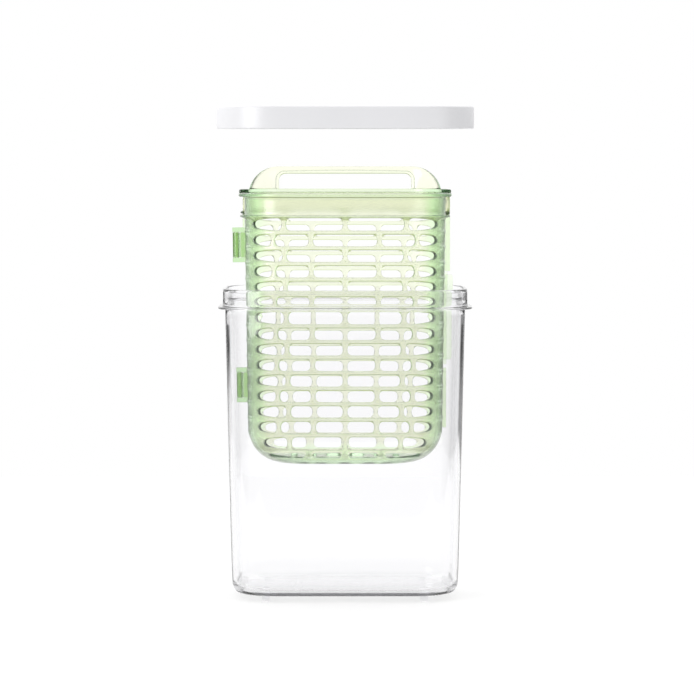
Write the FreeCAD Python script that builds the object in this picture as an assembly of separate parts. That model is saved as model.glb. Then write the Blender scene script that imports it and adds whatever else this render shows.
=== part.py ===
import FreeCAD
import Part

import math
import os

Vector = FreeCAD.Vector

# A taken-apart herb keeper, in millimetres, +Z up, the back towards +Y.
# The origin is on the resting surface, under the middle of the tub. The basket stands half lifted
# out of the tub, and the lid floats above it. Every plan outline is a rounded rectangle, written
# as (half width, half depth, corner radius), and outlines of one family are offsets of each other.

# Tub
TUB_TOP = (63.25, 41.2, 25.0)
TUB_TAPER = 3.4
TUB_BOTTOM_Z = 3.0
TUB_FLOOR = 2.5
TUB_WALL = 1.8
TUB_BOTTOM_ROUND = 6.0
FLANGE_Z = 153.0
FLANGE_THICKNESS = 1.2
FLANGE_REACH = 3.75
NECK_REACH = 1.15
NECK_WALL = 1.9
NECK_TOP_Z = 163.6

# Feet under the tub
FOOT_X = 41.5
FOOT_Y = 27.0
FOOT_WIDTH = 4.0
FOOT_LENGTH = 9.0

# Lid
LID_BOTTOM_Z = 247.5
LID_HEIGHT = 11.7
LID_REACH = 4.45
LID_SKIRT = 1.8
LID_TOP = 2.0
LID_ROUND = 1.0

# Basket
BASKET_BOTTOM = (51.1, 31.7, 19.1)
BASKET_TAPER = 1.9
BASKET_BOTTOM_Z = 72.0
BASKET_TOP_Z = 215.5
BASKET_WALL = 1.9
BEAD_REACH = 0.6
SIDE_ROUND = 18.5
FRONT_ROUND = 6.0
HALF_GAP = 0.15

# Rim band of each half: a plain wall between an upper and a lower lip
BAND_HEIGHT = 12.9
UPPER_LIP = (3.15, 2.0)
LOWER_LIP = (2.5, 1.3)
FRONT_RIM_TOP_Z = 213.8
REAR_RIM_TOP_Z = 215.5

# Lattice of slats and ribs
SLAT_COUNT = 15
SLAT_PITCH = 8.14
SLAT_HEIGHT = 2.2
FRONT_FIRST_SLAT_Z = 194.5
REAR_FIRST_SLAT_Z = 198.2
THREE_RIBS = (-32.0, 0.0, 32.0)
FOUR_RIBS = (-38.0, -18.0, 18.0, 38.0)
LOWEST_RIBS = (-21.0, 0.0, 21.0)
RIB_WAIST = 2.2
RIB_CONVERGENCE = 0.1
WINDOW_ROUND = 1.6
POST_WIDTH = 4.4
POST_WIDENING = 1.8
LOWEST_WINDOW_Z = 75.7
FLOOR_BAR_PITCH = 10.5
FLOOR_BAR_WIDTH = 3.5
FLOOR_SLOTS_PER_SIDE = 3
FLOOR_SLOT_Y = (4.0, 23.0)
GRILLE_HALF_WIDTH = 25.0
SIDE_HALF_DEPTH = 14.0
FLOOR_CUT_Z = 75.2

# Carrying handle, an arch that carries on the rear wall above its rim
HANDLE_TOP_Z = 227.5
HANDLE_HALF_WIDTH = 51.2
HANDLE_ROUND = 15.5
HANDLE_THICKNESS = 2.4
GRIP_HALF_WIDTH = 35.5
GRIP_TOP_Z = 223.5
GRIP_ROUND = 3.5

# Hinge on the left, with an axis that leans with the wall's draft
HINGE_SPANS = ((102.8, 121.2), (177.0, 195.4))
HINGE_MID_Z = 149.0
HINGE_OFFSET = 4.9
LUG_HEIGHT = 2.4
LUG_GAP = 0.3
PIN_RADIUS = 1.2
BARREL_BORE = 1.28
BARREL_RADIUS = 2.1
LUG_OUTER = 2.0
CLIP_MOUTH = 1.8

# Finger tab and catch on the right, and parting flanges that run up to the rim on both sides
TAB_SPAN = (125.5, 170.5)
TAB_REACH_X = 57.0
TAB_ROUND = 1.5
CATCH_SPAN = (123.0, 172.0)
CATCH_REACH_X = 54.2
CATCH_THICKNESS = 2.0
UPPER_FLANGE_LOW_Z = 172.3
UPPER_FLANGE_REACH_X = 55.5
LOWER_FLANGE_SPAN = (89.5, 121.0)
LOWER_FLANGE_REACH_X = 54.0
LEFT_FLANGE_REACH_X = 54.2
PARTING_FLANGE_THICKNESS = 1.3
PARTING_Y = 0.3
WALL_OVERRUN_X = 50.0
FAR = 100.0

draft = BASKET_TAPER / (BASKET_TOP_Z - BASKET_BOTTOM_Z)
hinge_lean = -math.degrees(math.atan(draft))


def grown(size, reach):
    """Offset a plan outline outwards by reach."""
    return tuple(value + reach for value in size)


def outline(size, z):
    """Closed rounded-rectangle wire, centred on the Z axis."""
    half_x, half_y, radius = size
    flat_x = half_x - radius
    flat_y = half_y - radius
    centres = ((flat_x, flat_y), (-flat_x, flat_y), (-flat_x, -flat_y), (flat_x, -flat_y))
    corners = []
    for index, (centre_x, centre_y) in enumerate(centres):
        points = []
        for turn in (0, 45, 90):
            angle = math.radians(90 * index + turn)
            x = centre_x + radius * math.cos(angle)
            y = centre_y + radius * math.sin(angle)
            points.append(Vector(x, y, z))
        corners.append(points)
    edges = []
    for index, points in enumerate(corners):
        following = corners[(index + 1) % 4]
        edges.append(Part.Arc(*points).toShape())
        edges.append(Part.LineSegment(points[2], following[0]).toShape())
    return Part.Wire(edges)


def slab(size, low_z, high_z):
    """Straight-sided plate with the given plan outline."""
    face = Part.Face(outline(size, low_z))
    return face.extrude(Vector(0, 0, high_z - low_z))


def tapered(low_size, low_z, high_size, high_z):
    """Solid between two plan outlines at two heights."""
    return Part.makeLoft([outline(low_size, low_z), outline(high_size, high_z)], True, True)


def block(x_span, y_span, z_span):
    """Box from three (low, high) spans."""
    low = Vector(x_span[0], y_span[0], z_span[0])
    sides = [high - start for start, high in (x_span, y_span, z_span)]
    return Part.makeBox(sides[0], sides[1], sides[2], low)


def window(x_span, z_span, y_span, radius):
    """Rounded-rectangle prism running along Y."""
    half_x = (x_span[1] - x_span[0]) / 2
    half_z = (z_span[1] - z_span[0]) / 2
    corner = min(radius, 0.9 * half_x, 0.9 * half_z)
    prism = slab((half_x, half_z, corner), 0, y_span[1] - y_span[0])
    prism.rotate(Vector(0, 0, 0), Vector(1, 0, 0), -90)
    prism.translate(Vector((x_span[0] + x_span[1]) / 2, y_span[0], (z_span[0] + z_span[1]) / 2))
    return prism


def corner_cutters(half_width, bottom_z, radius, along_y):
    """The two prisms that round a pair of bottom edges, made along Y, or turned to run along X."""
    cutters = []
    for side in (-1, 1):
        centre = side * (half_width - radius)
        far = side * (half_width + radius)
        spans = (sorted((centre, far)), (-FAR, FAR), (bottom_z - radius, bottom_z + radius))
        cutter = block(*spans)
        start = Vector(centre, -FAR, bottom_z + radius)
        cutter = cutter.cut(Part.makeCylinder(radius, 2 * FAR, start, Vector(0, 1, 0)))
        if not along_y:
            cutter.rotate(Vector(0, 0, 0), Vector(0, 0, 1), 90)
        cutters.append(cutter)
    return cutters


def basket_body(reach):
    """The basket's outer form as one solid, offset outwards by reach."""
    bottom_z = BASKET_BOTTOM_Z - reach
    low = grown(BASKET_BOTTOM, reach)
    high = grown(BASKET_BOTTOM, reach + BASKET_TAPER)
    body = tapered(low, bottom_z, high, BASKET_TOP_Z)
    side_round = SIDE_ROUND + reach
    front_round = FRONT_ROUND + reach
    cutters = corner_cutters(low[0] + draft * side_round, bottom_z, side_round, True)
    cutters += corner_cutters(low[1] + draft * front_round, bottom_z, front_round, False)
    return body.cut(cutters)


def silhouette_x(z):
    """Half width of the basket at a height, with its rounded bottom corners."""
    half_width = BASKET_BOTTOM[0] + draft * (z - BASKET_BOTTOM_Z)
    below = BASKET_BOTTOM_Z + SIDE_ROUND - z
    if below > 0:
        half_width += math.sqrt(SIDE_ROUND ** 2 - below ** 2) - SIDE_ROUND
    return half_width


def slat_tops(first_slat_z):
    return [first_slat_z - index * SLAT_PITCH for index in range(SLAT_COUNT)]


def lattice_windows(first_slat_z, band_bottom_z, y_span):
    """Every window of one half's wall: rows of gaps between slats, parted by ribs."""
    tops = slat_tops(first_slat_z)
    floors = tops + [LOWEST_WINDOW_Z]
    ceilings = [band_bottom_z] + [top - SLAT_HEIGHT for top in tops]
    windows = []
    for row, z_span in enumerate(zip(floors, ceilings)):
        ribs = THREE_RIBS if row % 2 == 0 else FOUR_RIBS
        post_width = POST_WIDTH + POST_WIDENING * row / SLAT_COUNT
        if row == SLAT_COUNT:
            ribs = LOWEST_RIBS
            post_width = POST_WIDTH
        closeness = 1 - RIB_CONVERGENCE * row / SLAT_COUNT
        end = silhouette_x(z_span[0]) - post_width
        lefts = [-end] + [rib * closeness + RIB_WAIST / 2 for rib in ribs]
        rights = [rib * closeness - RIB_WAIST / 2 for rib in ribs] + [end]
        for x_span in zip(lefts, rights):
            windows.append(window(x_span, z_span, y_span, WINDOW_ROUND))
    return windows


def floor_slots(side):
    """Slots through the floor of one half, between bars that run front to back."""
    slots = []
    y_span = sorted(side * value for value in FLOOR_SLOT_Y)
    z_span = (BASKET_BOTTOM_Z - BASKET_WALL, BASKET_BOTTOM_Z + 2 * BASKET_WALL)
    for index in range(-FLOOR_SLOTS_PER_SIDE, FLOOR_SLOTS_PER_SIDE):
        left = index * FLOOR_BAR_PITCH + FLOOR_BAR_WIDTH / 2
        right = (index + 1) * FLOOR_BAR_PITCH - FLOOR_BAR_WIDTH / 2
        slots.append(block((left, right), y_span, z_span))
    return slots


def half_wall(side, first_slat_z, band_bottom_z):
    """Lattice wall and floor of one half, below its rim band. side is -1 for the front half."""
    outer = basket_body(0)
    beaded = basket_body(BEAD_REACH)
    beads = []
    for top in slat_tops(first_slat_z):
        level = block((-FAR, FAR), (-FAR, FAR), (top - SLAT_HEIGHT, top))
        beads.append(beaded.common(level))
    wall = outer.fuse(beads)
    y_span = sorted((side * HALF_GAP, side * FAR))
    wall = wall.common(block((-FAR, FAR), y_span, (0, band_bottom_z)))
    wall = wall.cut(basket_body(-BASKET_WALL))
    openings = lattice_windows(first_slat_z, band_bottom_z, y_span)
    return wall.cut(openings + floor_slots(side))


def rim_band(side, top_z):
    """Band that carries one half's rim: two lips, and a web between them at each end."""
    size = grown(BASKET_BOTTOM, BASKET_TAPER)
    bottom_z = top_z - BAND_HEIGHT
    band = slab(size, bottom_z, top_z)
    upper = slab(grown(size, UPPER_LIP[0]), top_z - UPPER_LIP[1], top_z)
    lower = slab(grown(size, LOWER_LIP[0]), bottom_z, bottom_z + LOWER_LIP[1])
    web_y = sorted((side * PARTING_Y, side * (PARTING_Y + PARTING_FLANGE_THICKNESS)))
    webs = block((-LEFT_FLANGE_REACH_X, UPPER_FLANGE_REACH_X), web_y, (bottom_z, top_z - UPPER_LIP[1]))
    band = band.fuse([upper, lower, webs])
    band = band.cut(slab(grown(size, -BASKET_WALL), bottom_z - 1, top_z + 1))
    return band.common(block((-FAR, FAR), sorted((side * HALF_GAP, side * FAR)), (bottom_z, top_z)))


def save(name, shape):
    shape.removeSplitter().exportStep("parts/" + name + ".step")


def save_half(prefix, grille_name, side, wall, band):
    """Write one moulded half as seven nodes that meet face to face."""
    everywhere = (-FAR, FAR)
    upright = (FLOOR_CUT_Z, BASKET_TOP_Z)
    near = (-SIDE_HALF_DEPTH, SIDE_HALF_DEPTH)
    beyond = sorted((side * SIDE_HALF_DEPTH, side * FAR))
    regions = {
        grille_name: block((-GRILLE_HALF_WIDTH, GRILLE_HALF_WIDTH), everywhere, upright),
        "left_corner": block((-FAR, -GRILLE_HALF_WIDTH), beyond, upright),
        "right_corner": block((GRILLE_HALF_WIDTH, FAR), beyond, upright),
        "left_side": block((-FAR, -GRILLE_HALF_WIDTH), near, upright),
        "right_side": block((GRILLE_HALF_WIDTH, FAR), near, upright),
        "floor": block(everywhere, everywhere, (0, FLOOR_CUT_Z)),
    }
    for name, region in regions.items():
        save(prefix + "_" + name, wall.common(region))
    save(prefix + "_rim", band)


def tub():
    """Clear tub: tapered wall, outside flange and straight neck, one moulding."""
    bottom = grown(TUB_TOP, -TUB_TAPER)
    outer = tapered(bottom, TUB_BOTTOM_Z, TUB_TOP, FLANGE_Z)
    low_edges = [edge for edge in outer.Edges if edge.BoundBox.ZMax < TUB_BOTTOM_Z + 0.01]
    outer = outer.makeFillet(TUB_BOTTOM_ROUND, low_edges)
    flange = slab(grown(TUB_TOP, FLANGE_REACH), FLANGE_Z, FLANGE_Z + FLANGE_THICKNESS)
    neck = slab(grown(TUB_TOP, NECK_REACH), FLANGE_Z, NECK_TOP_Z)
    outer = outer.fuse([flange, neck])
    floor_z = TUB_BOTTOM_Z + TUB_FLOOR
    cavity = tapered(grown(bottom, -TUB_WALL), floor_z, grown(TUB_TOP, -TUB_WALL), FLANGE_Z)
    mouth = slab(grown(TUB_TOP, NECK_REACH - NECK_WALL), FLANGE_Z, NECK_TOP_Z + 1)
    return outer.cut([cavity, mouth])


def lid():
    """White cap: flat top and a skirt that goes over the neck and stands on the flange."""
    top_z = LID_BOTTOM_Z + LID_HEIGHT
    outer = slab(grown(TUB_TOP, LID_REACH), LID_BOTTOM_Z, top_z)
    top_edges = [edge for edge in outer.Edges if edge.BoundBox.ZMin > top_z - 0.01]
    outer = outer.makeFillet(LID_ROUND, top_edges)
    recess = slab(grown(TUB_TOP, LID_REACH - LID_SKIRT), LID_BOTTOM_Z - 1, top_z - LID_TOP)
    return outer.cut(recess)


def handle():
    """Arch over the rear rim that follows the wall round both corners."""
    size = grown(BASKET_BOTTOM, BASKET_TAPER)
    ring = slab(size, REAR_RIM_TOP_Z, HANDLE_TOP_Z)
    ring = ring.cut(slab(grown(size, -HANDLE_THICKNESS), REAR_RIM_TOP_Z - 1, HANDLE_TOP_Z + 1))
    centre_z = HANDLE_TOP_Z - HANDLE_ROUND
    centre_x = HANDLE_HALF_WIDTH - math.sqrt(HANDLE_ROUND ** 2 - (REAR_RIM_TOP_Z - centre_z) ** 2)
    start = math.atan2(REAR_RIM_TOP_Z - centre_z, HANDLE_HALF_WIDTH - centre_x)
    middle = (start + math.pi / 2) / 2
    bulge_x = centre_x + HANDLE_ROUND * math.cos(middle)
    bulge_z = centre_z + HANDLE_ROUND * math.sin(middle)
    foot = (HANDLE_HALF_WIDTH, REAR_RIM_TOP_Z)
    shoulder = (centre_x, HANDLE_TOP_Z)
    right = [Vector(x, 0, z) for x, z in (foot, (bulge_x, bulge_z), shoulder)]
    left = [Vector(-point.x, 0, point.z) for point in reversed(right)]
    curves = [
        Part.Arc(*right),
        Part.LineSegment(right[2], left[0]),
        Part.Arc(*left),
        Part.LineSegment(left[2], right[0]),
    ]
    profile = Part.Face(Part.Wire([curve.toShape() for curve in curves]))
    arch = ring.common(profile.extrude(Vector(0, FAR, 0)))
    grip_span = (REAR_RIM_TOP_Z - 2 * GRIP_ROUND, GRIP_TOP_Z)
    return arch.cut(window((-GRIP_HALF_WIDTH, GRIP_HALF_WIDTH), grip_span, (0, FAR), GRIP_ROUND))


def leaned(shape):
    """Lean a hinge piece with the left wall."""
    shape.rotate(Vector(hinge_x, 0, HINGE_MID_Z), Vector(0, 1, 0), hinge_lean)
    return shape


def hinge_bracket(z_span):
    """Two lugs and the web that carries them on the rear half."""
    reach_y = BARREL_RADIUS
    web = block((hinge_x + BARREL_RADIUS + LUG_GAP, -WALL_OVERRUN_X), (PARTING_Y, reach_y), z_span)
    bracket = web
    for low in (z_span[0], z_span[1] - LUG_HEIGHT):
        lug_z = (low, low + LUG_HEIGHT)
        inner = hinge_x + HINGE_OFFSET - BEAD_REACH - LUG_GAP
        bracket = bracket.fuse(block((hinge_x - LUG_OUTER, inner), (-reach_y, reach_y), lug_z))
        bracket = bracket.fuse(block((hinge_x, -WALL_OVERRUN_X), (PARTING_Y, reach_y), lug_z))
    return leaned(bracket)


def hinge_pin(z_span):
    length = z_span[1] - z_span[0] - 2 * LUG_HEIGHT
    return leaned(Part.makeCylinder(PIN_RADIUS, length, Vector(hinge_x, 0, z_span[0] + LUG_HEIGHT)))


def hinge_clip(z_span):
    """Snap barrel on the front half, open on its outer side to go over the pin."""
    low = z_span[0] + LUG_HEIGHT + LUG_GAP
    high = z_span[1] - LUG_HEIGHT - LUG_GAP
    barrel = Part.makeCylinder(BARREL_RADIUS, high - low, Vector(hinge_x, 0, low))
    barrel = barrel.fuse(block((hinge_x, -WALL_OVERRUN_X), (-BARREL_RADIUS, -PARTING_Y), (low, high)))
    barrel = barrel.cut(Part.makeCylinder(BARREL_BORE, high - low, Vector(hinge_x, 0, low)))
    mouth = block((hinge_x - FAR, hinge_x), (-CLIP_MOUTH / 2, CLIP_MOUTH / 2), (low - 1, high + 1))
    return leaned(barrel.cut(mouth))


def right_plate(side, thickness, reach_x, z_span):
    """Upright plate that stands out of the right wall beside the parting plane."""
    y_span = sorted((side * PARTING_Y, side * (PARTING_Y + thickness)))
    return block((WALL_OVERRUN_X, reach_x), y_span, z_span)


def finger_tab():
    tab = right_plate(-1, CATCH_THICKNESS, TAB_REACH_X, TAB_SPAN)
    outer_edges = []
    for edge in tab.Edges:
        box = edge.BoundBox
        across_y = box.YLength > CATCH_THICKNESS / 2 and box.ZLength < 0.01
        if across_y and box.XMin > TAB_REACH_X - 0.01:
            outer_edges.append(edge)
    return tab.makeFillet(TAB_ROUND, outer_edges)


def parting_flange(side, band_bottom_z):
    """Flanges below the rim band: above and below the finger tab, and above the upper hinge."""
    upper_span = (UPPER_FLANGE_LOW_Z, band_bottom_z)
    upper = right_plate(side, PARTING_FLANGE_THICKNESS, UPPER_FLANGE_REACH_X, upper_span)
    lower = right_plate(side, PARTING_FLANGE_THICKNESS, LOWER_FLANGE_REACH_X, LOWER_FLANGE_SPAN)
    left_span = (HINGE_SPANS[1][1] + LUG_GAP, band_bottom_z)
    left = right_plate(-side, PARTING_FLANGE_THICKNESS, LEFT_FLANGE_REACH_X, left_span)
    left.rotate(Vector(0, 0, 0), Vector(0, 0, 1), 180)
    return upper.fuse([lower, left])


hinge_x = -silhouette_x(HINGE_MID_Z) - HINGE_OFFSET

os.makedirs("parts", exist_ok=True)

save("tub_shell", tub())
for depth_name, foot_y in (("front", -FOOT_Y), ("back", FOOT_Y)):
    for side_name, foot_x in (("left", -FOOT_X), ("right", FOOT_X)):
        foot = block(
            (foot_x - FOOT_WIDTH / 2, foot_x + FOOT_WIDTH / 2),
            (foot_y - FOOT_LENGTH / 2, foot_y + FOOT_LENGTH / 2),
            (0, TUB_BOTTOM_Z),
        )
        save("tub_foot_" + depth_name + "_" + side_name, foot)
save("lid_cap", lid())

front_band_z = FRONT_RIM_TOP_Z - BAND_HEIGHT
rear_band_z = REAR_RIM_TOP_Z - BAND_HEIGHT
front_wall = half_wall(-1, FRONT_FIRST_SLAT_Z, front_band_z)
rear_wall = half_wall(1, REAR_FIRST_SLAT_Z, rear_band_z)
save_half("door", "front_grille", -1, front_wall, rim_band(-1, FRONT_RIM_TOP_Z))
save_half("basket", "back_grille", 1, rear_wall, rim_band(1, REAR_RIM_TOP_Z))

save("basket_handle", handle())
for level, z_span in zip(("lower", "upper"), HINGE_SPANS):
    save("hinge_bracket_" + level, hinge_bracket(z_span).cut(rear_wall).cut(basket_body(0)))
    save("hinge_pin_" + level, hinge_pin(z_span))
    save("hinge_clip_" + level, hinge_clip(z_span).cut(front_wall).cut(basket_body(0)))
save("latch_tab", finger_tab().cut(front_wall).cut(basket_body(0)))
catch = right_plate(1, CATCH_THICKNESS, CATCH_REACH_X, CATCH_SPAN)
save("latch_catch", catch.cut(rear_wall).cut(basket_body(0)))
save("door_parting_flange", parting_flange(-1, front_band_z).cut(front_wall).cut(basket_body(0)))
save("basket_parting_flange", parting_flange(1, rear_band_z).cut(rear_wall).cut(basket_body(0)))
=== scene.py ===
import math

import bmesh
import bpy
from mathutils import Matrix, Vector


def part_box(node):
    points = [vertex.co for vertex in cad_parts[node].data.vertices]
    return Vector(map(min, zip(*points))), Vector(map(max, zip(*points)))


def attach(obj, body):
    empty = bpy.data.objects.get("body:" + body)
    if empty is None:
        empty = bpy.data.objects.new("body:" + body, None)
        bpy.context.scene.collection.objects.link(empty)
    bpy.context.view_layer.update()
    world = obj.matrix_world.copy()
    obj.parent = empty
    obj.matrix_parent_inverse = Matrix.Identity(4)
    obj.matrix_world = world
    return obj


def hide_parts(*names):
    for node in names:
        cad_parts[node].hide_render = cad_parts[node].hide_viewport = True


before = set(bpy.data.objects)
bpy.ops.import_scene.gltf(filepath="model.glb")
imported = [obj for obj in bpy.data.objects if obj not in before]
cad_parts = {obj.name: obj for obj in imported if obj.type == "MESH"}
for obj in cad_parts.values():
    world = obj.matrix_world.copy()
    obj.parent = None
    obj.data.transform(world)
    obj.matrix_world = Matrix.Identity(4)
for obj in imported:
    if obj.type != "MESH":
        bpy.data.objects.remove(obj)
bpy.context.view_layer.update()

# Lengths below are millimetres, like the CAD's own dimensions; MM turns them into metres.
MM = 0.001


def span(node, axis):
    """(low, high) of a CAD node along an axis, in millimetres."""
    low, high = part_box(node)
    return low[axis] / MM, high[axis] / MM


# ---------------------------------------------------------------------------------------------
# Sizes, read from the frame where it holds them
# ---------------------------------------------------------------------------------------------

# Tub: the flange is the widest part of the tub's node
FLANGE = (span("tub_shell", 0)[1], span("tub_shell", 1)[1], 28.75)
TUB_BOTTOM_Z, NECK_TOP_Z = span("tub_shell", 2)
FLANGE_IN = 3.75
NECK_IN = 2.6
TUB_TAPER = 3.4
FLANGE_Z = 153.0
FLANGE_THICKNESS = 1.2
TUB_WALL = 1.8
NECK_WALL = 1.9
TUB_FLOOR = 2.5
TUB_BOTTOM_ROUND = 6.0

# Lid
LID = (span("lid_cap", 0)[1], span("lid_cap", 1)[1], 29.45)
LID_BOTTOM_Z, LID_TOP_Z = span("lid_cap", 2)
LID_SKIRT = 1.8
LID_THICKNESS = 2.0

# Basket: plan outline at its lowest point, and how it widens upwards
BASKET_BOTTOM = (51.1, 31.7, 19.1)
BASKET_TAPER = 1.9
BASKET_BOTTOM_Z = span("basket_floor", 2)[0]
BASKET_TOP_Z = span("basket_rim", 2)[1]
BASKET_WALL = 1.9
SIDE_ROUND = 18.5
FRONT_ROUND = 6.0
CORNER_TIGHTENING = 0.6
HALF_GAP = span("basket_rim", 1)[0]
BEAD_REACH = 0.6
SIDE_BEAD_SHARE = 0.4
BEAD_FADE_Z = (84.0, 94.0)
BAND_HEIGHT = 12.9
# Lips of the band as (reach, height), and the webs under the upper one as {side: reach}
UPPER_LIP = (3.15, 2.0)
LOWER_LIP = (2.5, 1.3)
WEB_REACH = {-1: 1.2, 1: 2.5}
WEB_THICKNESS = 1.3
PARTING_Y = 0.3

# Lattice: rows of windows between slats, with ribs at these distances from the middle
SLAT_COUNT = 15
SLAT_PITCH = 8.14
SLAT_HEIGHT = 2.2
THREE_RIBS = (-32.0, 0.0, 32.0)
FOUR_RIBS = (-38.0, -18.0, 18.0, 38.0)
LOWEST_RIBS = (-21.0, 0.0, 21.0)
FRONT_FIRST_SLAT_Z = 194.5
REAR_FIRST_SLAT_Z = 198.2
RIB_WAIST = 2.3
LOWEST_RIB_WAIST = 4.0
RIB_CONVERGENCE = 0.1
WINDOW_ROUND = 1.2
WINDOW_BULGE = 1.2
END_TAPER = 0.45
POST_WIDTH = 4.6
POST_WIDENING = 1.8
LATTICE_OVERLAP = 1.2
LOWEST_WINDOW_Z = 75.7
UNDERSIDE_Z = 75.0
EDGE_ROUND = 0.3
# Steps down the wall where it turns under, and through the wall at a cut edge
UNDER_STEPS = (1.0, 0.85, 0.7, 0.5, 0.25, 0.0)
EDGE_SHARES = (0.0, 0.46, 0.94, 1.0)
# Slots of the floor, in rows and columns of its grid
FLOOR_SLOT_ROWS = (1, 6)
FLOOR_SLOT_COLUMNS = (0, 6, 11)
FLOOR_SLOT_INSET = 1.0
FLOOR_BAR_WIDTH = 3.0

# Handle: an arch that carries on the rear wall, with a lip round its grip window
HANDLE_TOP_Z = span("basket_handle", 2)[1]
HANDLE_HALF_WIDTH = span("basket_handle", 0)[1]
HANDLE_ROUND = 15.5
HANDLE_THICKNESS = 2.4
GRIP_HALF_WIDTH = 35.5
GRIP_TOP_Z = 223.5
GRIP_ROUND = 3.5
GRIP_LIP_WIDTH = 1.7
GRIP_LIP_REACH = 0.7

# Columns of the wall's mesh, as distances from its middle where the ribs allow
COLUMNS = (0.0, 3.0, 6.0, 9.0, 12.0, 15.0, 18.0, 21.0, 23.75, 26.5, 29.25, 32.0, 35.0, 38.0)
END_COLUMNS = 6
POST_CORNER_STEPS = (0.3, 0.65, 1.0)
POST_SIDE_STEPS = (0.35, 0.7, 0.97, 1.0)


# ---------------------------------------------------------------------------------------------
# Mesh helpers
# ---------------------------------------------------------------------------------------------

WELD_DISTANCE = 0.002
SLIVER_LENGTH = 0.001
PLATE_EDGE = 0.2


def lerp(low, high, share):
    return low + (high - low) * share


def clamp(value, high=1.0):
    """Hold a value between nothing and its highest."""
    return max(0.0, min(high, value))


def grown(size, reach):
    """Offset a plan outline (half width, half depth, corner radius) outwards by reach."""
    return tuple(value + reach for value in size)


def finished_mesh(name, points, faces):
    """Object from points in millimetres: welded, with outward normals, smooth and subdivided once."""
    mesh = bpy.data.meshes.new(name)
    mesh.from_pydata([Vector(point) * MM for point in points], [], faces)
    work = bmesh.new()
    work.from_mesh(mesh)
    bmesh.ops.remove_doubles(work, verts=work.verts, dist=WELD_DISTANCE * MM)
    bmesh.ops.dissolve_degenerate(work, dist=SLIVER_LENGTH * MM, edges=work.edges)
    bmesh.ops.recalc_face_normals(work, faces=work.faces)
    crease = work.edges.layers.float.new("crease_edge")
    for face in work.faces:
        face.smooth = True
        # An end face with many corners keeps its outline
        if len(face.edges) > 4:
            for edge in face.edges:
                edge[crease] = 1.0
    work.to_mesh(mesh)
    work.free()
    piece = bpy.data.objects.new(name, mesh)
    bpy.context.collection.objects.link(piece)
    smoother = piece.modifiers.new("smoother", "SUBSURF")
    smoother.levels = 1
    smoother.render_levels = 1
    return piece


class Sheets:
    """Points and faces of one closed moulding, collected sheet by sheet."""

    def __init__(self):
        self.points = []
        self.faces = []

    def strip(self, first, second, closed=False):
        """Quads between two rows of points of the same length."""
        base = len(self.points)
        count = len(first)
        self.points += list(first) + list(second)
        for index in range(count if closed else count - 1):
            following = (index + 1) % count
            near = (base + index, base + following)
            far = (base + count + following, base + count + index)
            self.faces.append(near + far)

    def rows(self, rows, closed=False):
        """Quads between each row and the next."""
        for first, second in zip(rows, rows[1:]):
            self.strip(first, second, closed)

    def face(self, loop):
        """One face with any number of corners."""
        base = len(self.points)
        self.points += list(loop)
        self.faces.append(tuple(range(base, base + len(loop))))

    def plate(self, x_span, y_span, z_span):
        """Upright plate with softened edges, from three (low, high) spans."""
        loops = []
        front, back = y_span
        edge = PLATE_EDGE
        for y, inset in ((front, edge), (front + edge, 0), (back - edge, 0), (back, edge)):
            left = x_span[0] + inset
            right = x_span[1] - inset
            low = z_span[0] + inset
            high = z_span[1] - inset
            loop = [(left, low + edge), (left + edge, low), (right - edge, low), (right, low + edge)]
            loop += [(right, high - edge), (right - edge, high), (left + edge, high), (left, high - edge)]
            loops.append([(x, y, z) for x, z in loop])
        self.rows(loops, closed=True)
        self.face(loops[0])
        self.face(loops[-1])


# ---------------------------------------------------------------------------------------------
# Closed rounded-rectangle mouldings: tub and lid
# ---------------------------------------------------------------------------------------------

CORNER_STEPS = 8
STRAIGHT_X_STEPS = 8
STRAIGHT_Y_STEPS = 4
ROUND_STEPS = 4
WALL_SHARES = (0.3, 0.6, 0.9)
BASE_SHARES = (0.93, 0.8)


def outline_points(size, z):
    """Closed loop round a plan outline, counter-clockwise from the middle of the back right corner."""
    half_x, half_y, radius = size
    flat_x = half_x - radius
    flat_y = half_y - radius
    centres = ((flat_x, flat_y), (-flat_x, flat_y), (-flat_x, -flat_y), (flat_x, -flat_y))
    loop = []
    for quarter, (centre_x, centre_y) in enumerate(centres):
        for step in range(CORNER_STEPS + 1):
            angle = math.pi / 2 * (quarter + step / CORNER_STEPS)
            loop.append((centre_x + radius * math.cos(angle), centre_y + radius * math.sin(angle), z))
        straight = STRAIGHT_X_STEPS if quarter % 2 == 0 else STRAIGHT_Y_STEPS
        start = loop[-1]
        next_x, next_y = centres[(quarter + 1) % 4]
        angle = math.pi / 2 * (quarter + 1)
        end = (next_x + radius * math.cos(angle), next_y + radius * math.sin(angle), z)
        for step in range(1, straight):
            share = step / straight
            loop.append((lerp(start[0], end[0], share), lerp(start[1], end[1], share), z))
    middle = CORNER_STEPS // 2
    return loop[middle:] + loop[:middle]


def patch(back, front, left, right):
    """Coons grid between four edges; back and front run along +X, left and right from back to front."""
    rows = []
    count = len(left) - 1
    across = len(back) - 1
    for row in range(count + 1):
        down = row / count
        points = []
        for column in range(across + 1):
            along = column / across
            point = []
            for axis in range(3):
                value = lerp(back[column][axis], front[column][axis], down)
                value += lerp(left[row][axis], right[row][axis], along)
                top = lerp(back[0][axis], back[-1][axis], along)
                bottom = lerp(front[0][axis], front[-1][axis], along)
                point.append(value - lerp(top, bottom, down))
            points.append(tuple(point))
        rows.append(points)
    return rows


def fill_outline(sheets, loop):
    """Quad grid across a closed loop from outline_points."""
    along_x = CORNER_STEPS + STRAIGHT_X_STEPS
    along_y = CORNER_STEPS + STRAIGHT_Y_STEPS
    ring = loop + loop[:1]
    back = ring[:along_x + 1][::-1]
    left = ring[along_x:along_x + along_y + 1]
    front = ring[along_x + along_y:2 * along_x + along_y + 1]
    right = ring[2 * along_x + along_y:][::-1]
    sheets.rows(patch(back, front, left, right))


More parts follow.
